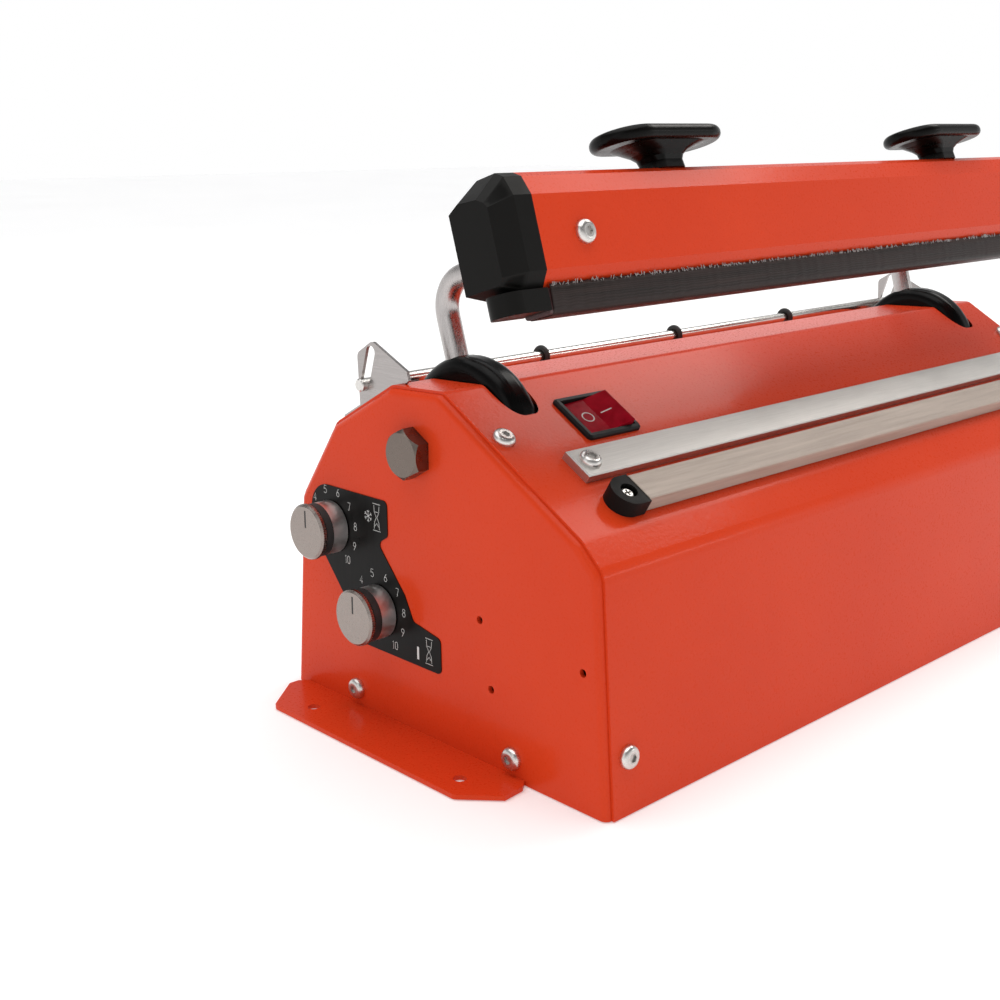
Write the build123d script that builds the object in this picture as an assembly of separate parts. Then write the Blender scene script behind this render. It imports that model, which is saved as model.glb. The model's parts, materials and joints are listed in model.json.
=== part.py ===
from build123d import *
import math
import os

# Impulse heat sealer with a hand lever, in millimetres.
# +X runs to the machine's right, -Y to its front, +Z up.
# The origin is on the table, midway between the four foot screw holes.

# ---- housing ----
WIDTH = 420.0
SHEET = 2.0
COVER_SHEET = 1.2
COVER_GAP = 0.05
COVER_SETBACK = 3.0
RIM = 18.0
FRONT_Y = -110.0
CORNER_FRONT = (-102.9, 94.0)
CORNER_SLOPE_LOW = (-92.2, 104.3)
CORNER_SLOPE_TOP = (-17.7, 148.3)
CORNER_TOP_REAR = (12.8, 147.0)
CORNER_REAR_SLOPE = (50.0, 126.3)
CORNER_REAR = (75.3, 90.5)
REAR_Y = 83.3
BASE_Z = 4.0
WIDE_BEND = 8.0
TIGHT_BEND = 4.0
BELOW_TABLE = 12.0

# ---- foot flanges ----
FOOT_REACH = 28.0
FOOT_HOLE_R = 2.75
FOOT_HOLE_INSET = 17.0
FOOT_HOLE_Y = (-48.0, 48.0)

# ---- lever, all measured from its pivot ----
PIVOT_Y = -2.9
PIVOT_Z = 123.1
OPEN_ANGLE = 72.5
SHAFT_R = 10.0
SHAFT_CLEARANCE = 0.05
BOLT_R = 6.0
HUB_X = 176.5
HUB_R = 35.5
HUB_WIDTH = 16.0
HUB_EDGE = 6.0
ROD_R = 5.0
ROD_RISE = 66.5
ROD_BEND = 14.0
JAW_FRONT = 84.4
JAW_REAR = 60.4
JAW_BOTTOM = 48.0
JAW_TOP = 91.3
JAW_BODY_X = 200.0
JAW_COLLAR = 9.0
JAW_CAP_X = 221.0
JAW_SHEET = 2.0
JAW_MOUTH = 79.4
PRESSURE_BAR_TOP = 59.0
RUBBER_BOTTOM = 38.2
RUBBER_TOP = 47.6
RUBBER_FRONT = 82.8
RUBBER_BACK = 67.2
RUBBER_HALF_X = 200.0
CLAMP_LENGTH = 13.2
HANDLE_X = 110.0
HANDLE_Y = -72.4
HANDLE_SCREW = 4.5
HANDLE_SCREW_R = 1.6
HANDLE_NECK = ((18, 14, 4, 0), (17, 13.5, 4, 3.2), (19.5, 14.4, 5, 5.2),
               (26, 17, 7, 6.9), (37, 20, 9, 8.6), (52, 23, 11.4, 10.4))
HANDLE_SLAB = (67.0, 30.0, 14.9)
HANDLE_SLAB_LOW = 9.9
HANDLE_SLAB_HIGH = 15.7

# ---- seal bar and guide rail, on the front slope ----
SEAL_POS = 11.4
SEAL_WIDTH = 13.6
SEAL_HEIGHT = 7.35
SEAL_HALF_X = 169.0
BLOCK_LENGTH = 11.0
RAIL_POS = 32.5
RAIL_WIDTH = 15.0
RAIL_HEIGHT = 3.8
RAIL_HALF_X = 182.0
SEAL_SCREW_X = SEAL_HALF_X + 5.5
RAIL_SCREW_X = RAIL_HALF_X - 7.0

# ---- power switch, on the front slope ----
SWITCH_X = -145.5
SWITCH_POS = 58.0
BEZEL = (31.5, 25.0, 2.0)
ROCKER = (26.0, 19.6)
ROCKER_TILT = 10.0

# ---- knobs, on the left side ----
KNOB_SEALING = (20.8, 50.0)
KNOB_COOLING = (52.2, 81.0)
KNOB_STANDOFF = 0.9
COLLAR_R = 11.6
COLLAR_LENGTH = 7.5
GRIP_R = 11.7
GRIP_LENGTH = 3.5
CAP_R = 12.1
CAP_LENGTH = 3.0
SPINDLE_R = 3.0
BUSH_R = 4.5
LABEL = 0.4

# ---- film roller, behind the top ----
ROLLER_Y = 35.5
ROLLER_Z = 145.0
ROLLER_R = 2.75
RING_R = 5.25
RING_PITCH = 98.0
BRACKET_X = 203.0
BRACKET_SHEET = 1.5
BRACKET_FOOT = 1.8
BRACKET_SCREW_X = 197.0
BRACKET_SCREW_POS = (10.0, 25.0)
SLOT_TOP = (31.2, 159.0)

# ---- holes and screws in the side plates, as (y, z) ----
ACCESSORY_R = 1.65
ACCESSORY_HOLES = ((-41.5, 62.0), (-48.0, 34.5), (-97.0, 56.0))
SIDE_SCREWS = ((-60.0, 9.0), (38.0, 9.0))

# ---- inside and rear ----
INLET_X = 120.0
INLET_Z = 40.0
TRANSFORMER_X = -20.0
TRANSFORMER_Y = 25.0
BOARD_X = -90.0
BOARD_Y = -55.0
SWITCH_STAND_Z = 92.0

# ---- M5 button head screws ----
M5_HEAD_R = 4.75
M5_HEAD_H = 2.75
M5_R = 2.5

# ---- M3 screws ----
SMALL_R = 1.5

HALF = WIDTH / 2
COVER_TOP = COVER_GAP + COVER_SHEET
COVER_HALF = HALF - COVER_SETBACK
SLOPE_ANGLE = math.degrees(math.atan2(
    CORNER_SLOPE_TOP[1] - CORNER_SLOPE_LOW[1], CORNER_SLOPE_TOP[0] - CORNER_SLOPE_LOW[0]))
REAR_ANGLE = math.degrees(math.atan2(
    CORNER_REAR_SLOPE[1] - CORNER_TOP_REAR[1], CORNER_REAR_SLOPE[0] - CORNER_TOP_REAR[0]))
FRONT_ANGLE = math.degrees(math.atan2(CORNER_FRONT[1], CORNER_FRONT[0] - FRONT_Y))
REAR_LEAN = math.degrees(math.atan2(CORNER_REAR[1], CORNER_REAR[0] - REAR_Y))


def tilted_plane(point, angle, lift):
    """A plane lifted off a (y, z) point, its local y rising at an angle from +Y."""
    rise = math.radians(angle)
    normal = (0, -math.sin(rise), math.cos(rise))
    origin = (0, point[0] + lift * normal[1], point[1] + lift * normal[2])
    return Plane(origin=origin, x_dir=(1, 0, 0), z_dir=normal)


SLOPE = tilted_plane(CORNER_SLOPE_LOW, SLOPE_ANGLE, COVER_TOP)
REAR_SLOPE = tilted_plane(CORNER_TOP_REAR, REAR_ANGLE, COVER_TOP)
FRONT = tilted_plane((FRONT_Y, 0), FRONT_ANGLE, COVER_TOP)
REAR = tilted_plane((REAR_Y, 0), REAR_LEAN + 180, COVER_TOP)
LEVER = tilted_plane((PIVOT_Y, PIVOT_Z), OPEN_ANGLE - 90, 0)


def cylinder_x(radius, x_from, x_to, y=0.0, z=0.0):
    """A round bar along X."""
    middle = ((x_from + x_to) / 2, y, z)
    return Pos(*middle) * Rot(0, 90, 0) * Cylinder(radius, abs(x_to - x_from))


def box_between(low, high):
    """A box from its two opposite corners."""
    size = [abs(b - a) for a, b in zip(low, high)]
    centre = [(a + b) / 2 for a, b in zip(low, high)]
    return Pos(*centre) * Box(*size)


def extrude_side(face, x_from, x_to):
    """A prism along X from a face drawn in (y, z)."""
    return Pos(x_from, 0, 0) * extrude(Plane.YZ * face, x_to - x_from)


def side_prism(points, x_from, x_to):
    """A prism along X from an outline of (y, z) points."""
    return extrude_side(make_face(Polyline(*points, close=True)), x_from, x_to)


def both_sides(solid):
    """A solid and its mirror image across the machine's middle."""
    return Compound(children=[solid, mirror(solid, about=Plane.YZ)])


def button_screw(shank):
    """An M5 button head screw along +Z, its head's seat at the origin."""
    head = Pos(0, 0, M5_HEAD_H / 2) * Cylinder(M5_HEAD_R, M5_HEAD_H)
    head = fillet(head.edges().group_by(Axis.Z)[-1], M5_HEAD_H * 0.8)
    socket = Pos(0, 0, M5_HEAD_H - 0.8) * extrude(RegularPolygon(1.5, 6, major_radius=False), 2)
    body = Pos(0, 0, -shank / 2) * Cylinder(M5_R, shank)
    return (head + body) - socket


def housing_face(grow):
    """The housing's rounded side face in (y, z), grown outwards and run out below the table."""
    front_foot = FRONT_Y - BELOW_TABLE * (CORNER_FRONT[0] - FRONT_Y) / CORNER_FRONT[1]
    rear_foot = REAR_Y + BELOW_TABLE * (REAR_Y - CORNER_REAR[0]) / CORNER_REAR[1]
    bends = {CORNER_FRONT: WIDE_BEND, CORNER_SLOPE_LOW: WIDE_BEND, CORNER_SLOPE_TOP: TIGHT_BEND,
             CORNER_TOP_REAR: TIGHT_BEND, CORNER_REAR_SLOPE: TIGHT_BEND, CORNER_REAR: TIGHT_BEND}
    points = [(front_foot, -BELOW_TABLE), *bends, (rear_foot, -BELOW_TABLE)]
    face = make_face(Polyline(*points, close=True))
    if grow != 0:
        face = offset(face, grow, kind=Kind.INTERSECTION)
    for corner, radius in bends.items():
        vertex = face.vertices().sort_by_distance((corner[0], corner[1], 0))[0]
        face = fillet(vertex, radius + grow)
    return face


def housing_block(grow, x_from, x_to):
    """The housing's volume between two X positions, grown outwards by a distance."""
    return extrude_side(housing_face(grow), x_from, x_to)


def above_table(solid):
    """What of a solid stands above the table."""
    reach = 2 * WIDTH
    return solid & box_between((-reach, -reach, 0), (reach, reach, reach))


def hub_shape(radius, width, edge):
    """A rounded drum about the lever's pivot."""
    drum = Rot(0, 90, 0) * Cylinder(radius, width)
    return fillet(drum.edges(), edge)


# ---- sheet metal ----

def foot_flange():
    """The flat foot welded to the left side plate, with its two screw holes."""
    edge = -HALF
    outline = [(edge, -67), (edge - 4, -70), (edge - 14.5, -71),
               (edge - FOOT_REACH, -56.5), (edge - FOOT_REACH, 62),
               (edge - 9, 77.5), (edge - 4, 77.5), (edge, 74)]
    flange = extrude(make_face(Polyline(*outline, close=True)), SHEET)
    flange = fillet(flange.edges().filter_by(Axis.Z).group_by(Axis.X)[0], 3)
    for y in FOOT_HOLE_Y:
        flange -= Pos(edge - FOOT_HOLE_INSET, y, SHEET / 2) * Cylinder(FOOT_HOLE_R, SHEET * 2)
    return flange


def side_plate(left):
    """A folded pan: the web and a rounded rim that the cover lies on."""
    pan = above_table(housing_block(0, -HALF, -HALF + RIM))
    outer_edges = pan.faces().sort_by(Axis.X)[0].edges()
    pan = fillet([edge for edge in outer_edges if edge.center().Z > 1], 3)
    plate = pan - housing_block(-SHEET, -HALF + SHEET, -HALF + RIM + 1)
    holes = [(PIVOT_Y, PIVOT_Z, BOLT_R + 0.5)]
    holes += [(y, z, ACCESSORY_R) for y, z in ACCESSORY_HOLES]
    holes += [(y, z, M5_R) for y, z in SIDE_SCREWS]
    if left:
        holes += [(y, z, BUSH_R) for y, z in (KNOB_SEALING, KNOB_COOLING)]
    for y, z, radius in holes:
        plate -= cylinder_x(radius, -HALF - 1, -HALF + SHEET + 1, y, z)
    for place in cover_screw_places():
        plate -= place * Cylinder(M5_R, 12)
    for place in bracket_screw_places():
        plate -= place * Cylinder(SMALL_R, 12)
    return plate if left else mirror(plate, about=Plane.YZ)


def cover_screw_places():
    """Where the left side's cover screws sit: on the slope, the front and the rear."""
    slope_place = SLOPE * Pos(-HALF + 10, 56, 0)
    front_place = FRONT * Pos(-HALF + 12, 23, 0)
    return [slope_place, front_place, REAR * Pos(-HALF + 12, -23, 0)]


def cover_slots(solid):
    """Cut the two slots that the lever's drums turn in."""
    tool = hub_shape(HUB_R + 1.2, HUB_WIDTH + 2.4, HUB_EDGE + 1)
    for side in (-1, 1):
        solid -= Pos(side * HUB_X, PIVOT_Y, PIVOT_Z) * tool
    return solid


def cover_shell():
    """The wrapped cover sheet, before it is split into its two panels."""
    outer = above_table(housing_block(COVER_TOP, -COVER_HALF, COVER_HALF))
    return outer - housing_block(COVER_GAP, -COVER_HALF - 1, COVER_HALF + 1)


def top_cover(shell):
    """Front, slope and top in one folded sheet, with its slots, window and holes."""
    cover = shell - box_between((-HALF, CORNER_REAR_SLOPE[0] + 0.3, -5), (HALF, REAR_Y + 5, 200))
    cover = cover_slots(cover)
    cover -= SLOPE * Pos(SWITCH_X, SWITCH_POS, 0) * Box(BEZEL[0] - 3, BEZEL[1] - 3, 10)
    for place in cover_screw_places()[:2]:
        hole = place * Cylinder(M5_R, 12)
        cover -= hole
        cover -= mirror(hole, about=Plane.YZ)
    for x in (-SEAL_SCREW_X, SEAL_SCREW_X):
        cover -= SLOPE * Pos(x, SEAL_POS, 0) * Cylinder(SMALL_R, 12)
    for x in (-RAIL_SCREW_X, RAIL_SCREW_X):
        cover -= SLOPE * Pos(x, RAIL_POS, 0) * Cylinder(M5_R, 12)
    for place in bracket_screw_places():
        hole = place * Cylinder(SMALL_R, 12)
        cover -= hole
        cover -= mirror(hole, about=Plane.YZ)
    return cover


def rear_panel(shell):
    """The steep rear sheet, with the power inlet's window."""
    panel = shell & box_between((-HALF, CORNER_REAR_SLOPE[0] + 0.9, -5), (HALF, REAR_Y + 5, 200))
    panel -= rear_plane(INLET_X, INLET_Z) * Box(28, 20, 10)
    for x in (-HALF + 12, HALF - 12):
        panel -= REAR * Pos(x, -23, 0) * Cylinder(M5_R, 12)
    return panel


def rear_plane(x, z):
    """A place on the steep rear panel at a height, facing outwards."""
    along = z / math.sin(math.radians(REAR_LEAN))
    return REAR * Pos(x, -along, 0)


def base_plate():
    """The bottom tray that closes the housing, with an upturned lip on each side."""
    half = HALF - SHEET - 0.3
    front = FRONT_Y + SHEET + 0.6
    rear = REAR_Y - SHEET - 0.6
    tray = box_between((-half, front, BASE_Z - SHEET), (half, rear, BASE_Z))
    for side in (-1, 1):
        lip = box_between((side * half, front + 12, BASE_Z),
                          (side * (half - SHEET), rear - 12, BASE_Z + 14))
        for y, z in SIDE_SCREWS:
            lip -= cylinder_x(M5_R, side * half - 5, side * half + 5, y, z)
        tray += lip
    return tray


def cover_screws():
    """The button heads that hold the cover and the rear panel to the side plates."""
    screws = []
    for place in cover_screw_places():
        screws += both_sides(place * button_screw(9)).solids()
    return screws


def side_screws():
    """The button heads low on each side, which hold the side plates to the base."""
    screws = []
    for y, z in SIDE_SCREWS:
        screw = Pos(-HALF, y, z) * Rot(0, -90, 0) * button_screw(8)
        screws += both_sides(screw).solids()
    return screws


# ---- lever ----

def pivot_shaft():
    """The fixed shaft between the side plates, tapped at both ends."""
    end = HALF - SHEET
    shaft = cylinder_x(SHAFT_R, -end, end, PIVOT_Y, PIVOT_Z)
    for side in (-1, 1):
        shaft -= cylinder_x(BOLT_R, side * (end - 24), side * (end + 1), PIVOT_Y, PIVOT_Z)
    return shaft


def pivot_bolts():
    """The hexagon head bolts that clamp the shaft to the side plates."""
    head = extrude(RegularPolygon(9.25, 6, major_radius=False), 7)
    crown = Cone(11.6, 9.0, 2.6)
    head &= Pos(0, 0, 7 - 1.3) * crown + Pos(0, 0, 2.2) * Cylinder(11.6, 4.4)
    bolt = head + Pos(0, 0, -11) * Cylinder(BOLT_R, 22)
    placed = Pos(-HALF, PIVOT_Y, PIVOT_Z) * Rot(0, -90, 0) * bolt
    return both_sides(placed)


def rod_path():
    """The bent rod's centre line, in the lever's own (x, back, up) frame."""
    start = (0, 0, SHAFT_R + 4)
    bend_low = (0, 0, ROD_RISE - ROD_BEND)
    bend_high = (0, -ROD_BEND, ROD_RISE)
    end = (0, -(JAW_FRONT - JAW_SHEET), ROD_RISE)
    middle = (0, -ROD_BEND * (1 - math.cos(math.pi / 4)),
              ROD_RISE - ROD_BEND * (1 - math.sin(math.pi / 4)))
    return Line(start, bend_low) + ThreePointArc(bend_low, middle, bend_high) + Line(bend_high, end)


def arm_rods():
    """One bent steel rod each side, from the drum to the jaw's front wall."""
    rods = []
    for side in (-1, 1):
        path = rod_path()
        rod = sweep(Plane(origin=path @ 0, z_dir=path % 0) * Circle(ROD_R), path=path)
        tapped = Pos(0, -(JAW_FRONT - JAW_SHEET), ROD_RISE) * Rot(90, 0, 0) * Cylinder(M5_R, 28)
        rods.append(LEVER * Pos(side * HUB_X, 0, 0) * (rod - tapped))
    return rods


def arm_hubs():
    """The moulded drums that carry the rods and fill the cover's slots."""
    hubs = []
    drum = hub_shape(HUB_R, HUB_WIDTH, HUB_EDGE)
    drum -= Rot(0, 90, 0) * Cylinder(SHAFT_R + SHAFT_CLEARANCE, HUB_WIDTH + 2)
    drum -= Pos(0, 0, SHAFT_R + 4 + 20) * Cylinder(ROD_R, 40)
    for side in (-1, 1):
        hubs.append(LEVER * Pos(side * HUB_X, 0, 0) * drum)
    return hubs


def jaw_outline():
    """The jaw's (back, up) outline, seen from its end."""
    return [(-80.2, JAW_BOTTOM), (-JAW_FRONT, 54), (-JAW_FRONT, 81.5), (-81.2, 89),
            (-77.4, JAW_TOP), (-67.4, JAW_TOP), (-JAW_REAR, 82), (-JAW_REAR, JAW_BOTTOM)]


def jaw_tip_outline():
    """The smaller outline of an end cap's outer face."""
    return [(-80.2, 50.5), (-82.4, 53), (-82.4, 78), (-80.9, 80),
            (-77.4, 82), (-67.4, 83), (-61.9, 80.5), (-61.9, 50.5)]


def jaw_profile():
    """The folded sheet of the jaw, open at its bottom and ends."""
    outer = side_prism(jaw_outline(), -JAW_BODY_X, JAW_BODY_X)
    inner_face = offset(make_face(Polyline(*jaw_outline(), close=True)), -JAW_SHEET,
                        kind=Kind.INTERSECTION)
    inner = extrude(Plane.YZ * inner_face, JAW_BODY_X + 1, both=True)
    mouth = box_between((-JAW_BODY_X - 1, -JAW_MOUTH, JAW_BOTTOM - 1),
                        (JAW_BODY_X + 1, -JAW_REAR - JAW_SHEET, JAW_BOTTOM + 5))
    sheet = outer - inner - mouth
    for side in (-1, 1):
        sheet -= Pos(side * HUB_X, -JAW_REAR, ROD_RISE) * Rot(90, 0, 0) * Cylinder(ROD_R, 6)
        sheet -= Pos(side * HUB_X, -JAW_FRONT, ROD_RISE) * Rot(90, 0, 0) * Cylinder(M5_R, 6)
        for spot in (-HANDLE_SCREW, HANDLE_SCREW):
            sheet -= Pos(side * HANDLE_X + spot, HANDLE_Y, JAW_TOP) * Cylinder(HANDLE_SCREW_R, 6)
    return LEVER * sheet


def jaw_end_caps():
    """The moulded caps that close the jaw's ends, hipped towards the outside."""
    outline = make_face(Polyline(*jaw_outline(), close=True))
    collar = extrude(Plane.YZ.offset(JAW_BODY_X) * outline, JAW_COLLAR)
    tip = make_face(Polyline(*jaw_tip_outline(), close=True))
    base_face = Plane.YZ.offset(JAW_BODY_X + JAW_COLLAR) * outline
    tip_face = Plane.YZ.offset(JAW_CAP_X) * tip
    hip = loft([base_face.face(), tip_face.face()])
    inner_face = offset(outline, -JAW_SHEET - 0.1, kind=Kind.INTERSECTION)
    spigot = extrude(Plane.YZ.offset(JAW_BODY_X - 8) * inner_face, 8)
    spigot &= box_between((0, -JAW_FRONT, PRESSURE_BAR_TOP + 4), (JAW_CAP_X, 0, JAW_TOP))
    return both_sides(LEVER * (collar + hip + spigot))


def pressure_bar():
    """The aluminium bar inside the jaw that backs the rubber."""
    end = JAW_BODY_X - 9
    bar = box_between((-end, 0.2 - JAW_MOUTH, RUBBER_TOP),
                      (end, -JAW_REAR - JAW_SHEET, PRESSURE_BAR_TOP))
    return LEVER * bar


def jaw_rubber():
    """The silicone strip that presses the film."""
    strip = box_between((-RUBBER_HALF_X, -RUBBER_FRONT + 1, RUBBER_BOTTOM),
                        (RUBBER_HALF_X, -RUBBER_BACK - 1, RUBBER_TOP))
    strip = fillet(strip.edges().filter_by(Axis.X).group_by(Axis.Z)[0], 1.5)
    return LEVER * strip


def jaw_end_blocks():
    """The round-ended clamps at both ends of the rubber."""
    middle = -(RUBBER_FRONT + RUBBER_BACK) / 2
    radius = (RUBBER_FRONT - RUBBER_BACK) / 2
    low = RUBBER_BOTTOM + 1.4
    high = JAW_BOTTOM - 0.1
    round_x = RUBBER_HALF_X + CLAMP_LENGTH
    block = box_between((RUBBER_HALF_X, middle - radius, low), (round_x, middle + radius, high))
    tip = Pos(round_x, middle, (low + high) / 2) * Cylinder(radius, high - low)
    return both_sides(LEVER * (block + tip))


def jaw_screws():
    """The button heads on the jaw's front, threaded into the rods' ends."""
    screws = []
    for side in (-1, 1):
        place = Pos(side * HUB_X, -JAW_FRONT, ROD_RISE) * Rot(90, 0, 0)
        screws.append(LEVER * place * button_screw(14))
    return screws


def handle():
    """A palm grip: a flared neck under a rounded slab."""
    slab = extrude(Pos(0, 0, HANDLE_SLAB_LOW) * RectangleRounded(*HANDLE_SLAB),
                   HANDLE_SLAB_HIGH - HANDLE_SLAB_LOW)
    slab = fillet(slab.edges().group_by(Axis.Z)[-1], 3.0)
    slab = fillet(slab.edges().group_by(Axis.Z)[0], 2.6)
    sections = [Pos(0, 0, rise) * RectangleRounded(length, depth, radius)
                for length, depth, radius, rise in HANDLE_NECK]
    grip = slab + loft(sections, ruled=True)
    for spot in (-HANDLE_SCREW, HANDLE_SCREW):
        grip -= Pos(spot, 0, 0) * Cylinder(HANDLE_SCREW_R, 16)
    return Pos(0, HANDLE_Y, JAW_TOP) * grip


def handles():
    """Both grips on top of the jaw."""
    return [LEVER * Pos(side * HANDLE_X, 0, 0) * handle() for side in (-1, 1)]


def handle_screws():
    """Two screws under each grip, driven up from inside the jaw."""
    shank = Pos(0, 0, 2.5) * Cylinder(HANDLE_SCREW_R, 10)
    head = Pos(0, 0, -JAW_SHEET - 0.8) * Cylinder(3, 1.6)
    screw = Pos(0, 0, JAW_TOP) * (shank + head)
    screws = []
    for side in (-1, 1):
        for spot in (-HANDLE_SCREW, HANDLE_SCREW):
            screws.append(LEVER * Pos(side * HANDLE_X + spot, HANDLE_Y, 0) * screw)
    return screws


def lever_springs():
    """Coil springs round the shaft beside each drum, which lift the lever."""
    springs = []
    coil_r = 12.4
    wire_r = 1.0
    for side in (-1, 1):
        start = side * (HUB_X - HUB_WIDTH / 2 - 2)
        helix = Helix(pitch=2.6, height=18.2, radius=coil_r)
        coil = sweep(Plane(origin=helix @ 0, z_dir=helix % 0) * Circle(wire_r), path=helix)
        springs.append(Pos(start, PIVOT_Y, PIVOT_Z) * Rot(0, -90 * side, 0) * coil)
    return springs


# ---- seal bar, guide rail and switch ----

def seal_bar():
    """The aluminium bar under the heating band."""
    height = SEAL_HEIGHT - 0.8
    return SLOPE * Pos(0, SEAL_POS, height / 2) * Box(2 * SEAL_HALF_X, SEAL_WIDTH - 1, height)


def heating_band():
    """The flat nickel-chrome band along the middle of the bar."""
    return SLOPE * Pos(0, SEAL_POS, SEAL_HEIGHT - 0.65) * Box(2 * SEAL_HALF_X, 4.0, 0.3)


def release_cover():
    """The non-stick cloth that wraps the bar and the band."""
    low = 0.4
    half = SEAL_WIDTH / 2
    outer = box_between((-SEAL_HALF_X, -half, low), (SEAL_HALF_X, half, SEAL_HEIGHT))
    outer = fillet(outer.edges().filter_by(Axis.X).group_by(Axis.Z)[-1], 0.6)
    inner = box_between((-SEAL_HALF_X - 1, -half + 0.5, low - 1),
                        (SEAL_HALF_X + 1, half - 0.5, SEAL_HEIGHT - 0.8))
    groove = box_between((-SEAL_HALF_X - 1, -2.0, SEAL_HEIGHT - 1),
                         (SEAL_HALF_X + 1, 2.0, SEAL_HEIGHT - 0.5))
    return SLOPE * Pos(0, SEAL_POS, 0) * (outer - inner - groove)


def seal_end_blocks():
    """The black round-ended clamps at both ends of the seal bar."""
    height = SEAL_HEIGHT - 0.4
    radius = SEAL_WIDTH / 2 + 1.0
    plan = Pos(SEAL_HALF_X + BLOCK_LENGTH / 4, 0) * Rectangle(BLOCK_LENGTH / 2, 2 * radius)
    plan += Pos(SEAL_HALF_X + BLOCK_LENGTH / 2, 0) * Circle(radius)
    plan -= Pos(SEAL_HALF_X - 20, 0) * Rectangle(40, 40)
    block = extrude(plan, height)
    block -= Pos(SEAL_SCREW_X, 0, height) * Cylinder(3.6, 7)
    block -= Pos(SEAL_SCREW_X, 0, height / 2) * Cylinder(SMALL_R, height + 2)
    return both_sides(SLOPE * Pos(0, SEAL_POS, 0) * block)


def small_screw(head_r, head_h, shank):
    """A small pan head screw along +Z, its seat at the origin."""
    head = Pos(0, 0, head_h / 2) * Cylinder(head_r, head_h)
    head = fillet(head.edges().group_by(Axis.Z)[-1], head_h * 0.45)
    head -= Pos(0, 0, head_h) * Box(head_r * 1.1, head_r * 0.3, head_h)
    head -= Pos(0, 0, head_h) * Box(head_r * 0.3, head_r * 1.1, head_h)
    return head + Pos(0, 0, -shank / 2) * Cylinder(SMALL_R, shank)


def seal_screws():
    """The screws that hold the end clamps down."""
    seat = SEAL_HEIGHT - 0.4 - 3.5
    screw = SLOPE * Pos(SEAL_SCREW_X, SEAL_POS, seat) * small_screw(2.9, 2.2, seat + 6)
    return both_sides(screw)


def guide_rail():
    """The flat aluminium rail behind the seal bar, chamfered along its top."""
    rail = Pos(0, 0, RAIL_HEIGHT / 2) * Box(2 * RAIL_HALF_X, RAIL_WIDTH, RAIL_HEIGHT)
    rail = chamfer(rail.edges().group_by(Axis.Z)[-1], 0.5)
    for x in (-RAIL_SCREW_X, RAIL_SCREW_X):
        rail -= Pos(x, 0, RAIL_HEIGHT / 2) * Cylinder(M5_R, RAIL_HEIGHT + 2)
    return SLOPE * Pos(0, RAIL_POS, 0) * rail


def rail_screws():
    """The button heads at the rail's ends."""
    return both_sides(SLOPE * Pos(RAIL_SCREW_X, RAIL_POS, RAIL_HEIGHT) * button_screw(12))


def switch_housing():
    """The rocker switch's bezel and body, with a well for the rocker."""
    bezel = Pos(0, 0, BEZEL[2] / 2) * Box(*BEZEL)
    bezel = fillet(bezel.edges().filter_by(Axis.Z), 2)
    bezel = chamfer(bezel.edges().group_by(Axis.Z)[-1], 0.8)
    body = Pos(0, 0, -11) * Box(BEZEL[0] - 3.4, BEZEL[1] - 3.4, 22)
    well = Box(ROCKER[0] + 0.8, ROCKER[1] + 0.8, 2 * 12)
    shell = bezel + body - well
    for x in (-8, 0, 8):
        shell += Pos(x, 0, -25) * Box(0.8, 4.8, 8)
    return SLOPE * Pos(SWITCH_X, SWITCH_POS, 0) * shell


def rocker_button():
    """The red rocker: two flat pads meeting at a shallow angle, lying in OFF."""
    half = ROCKER[0] / 2
    drop = half * math.tan(math.radians(ROCKER_TILT))
    outline = [(-half + 0.4, 2.0), (0, 2.0 - drop * 0.5), (half - 0.4, 2.0),
               (half - 2.0, -5), (0, -7.5), (-half + 2.0, -5)]
    face = Plane.XZ * make_face(Polyline(*outline, close=True))
    pad = extrude(face, ROCKER[1] / 2, both=True)
    return SLOPE * Pos(SWITCH_X, SWITCH_POS, 0) * Rot(0, -ROCKER_TILT, 0) * pad


# ---- knobs and dial ----

def knob_parts(place):
    """One knob: faced cap, grip ring and collar, on its own spindle."""
    y, z = place
    seat = -HALF - KNOB_STANDOFF
    grip_from = seat - COLLAR_LENGTH
    cap_from = grip_from - GRIP_LENGTH
    face = cap_from - CAP_LENGTH
    cap = cylinder_x(CAP_R, face, cap_from, y, z)
    cap = chamfer(cap.edges().filter_by(GeomType.CIRCLE), 0.9)
    cap -= box_between((face - 0.5, y - 0.5, z + 2), (face + 0.3, y + 0.5, z + CAP_R - 2.5))
    spindle = cylinder_x(SPINDLE_R, cap_from + 2, -HALF + 16, y, z)
    ring = cylinder_x(GRIP_R, cap_from, grip_from, y, z) - spindle
    collar = cylinder_x(COLLAR_R, grip_from, seat, y, z) - spindle
    return cap, ring, collar, spindle


def potentiometers():
    """The two variable resistors behind the left side plate, with hollow bushes."""
    inside = -HALF + SHEET
    bodies = []
    for y, z in (KNOB_SEALING, KNOB_COOLING):
        body = cylinder_x(10, inside, inside + 12, y, z)
        body += cylinder_x(BUSH_R, -HALF - LABEL, inside, y, z)
        body += box_between((inside + 1, y - 8, z - 15), (inside + 3, y + 8, z))
        body -= cylinder_x(SPINDLE_R + 0.05, -HALF - 2, inside + 14.5, y, z)
        bodies.append(body)
    return bodies


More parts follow.
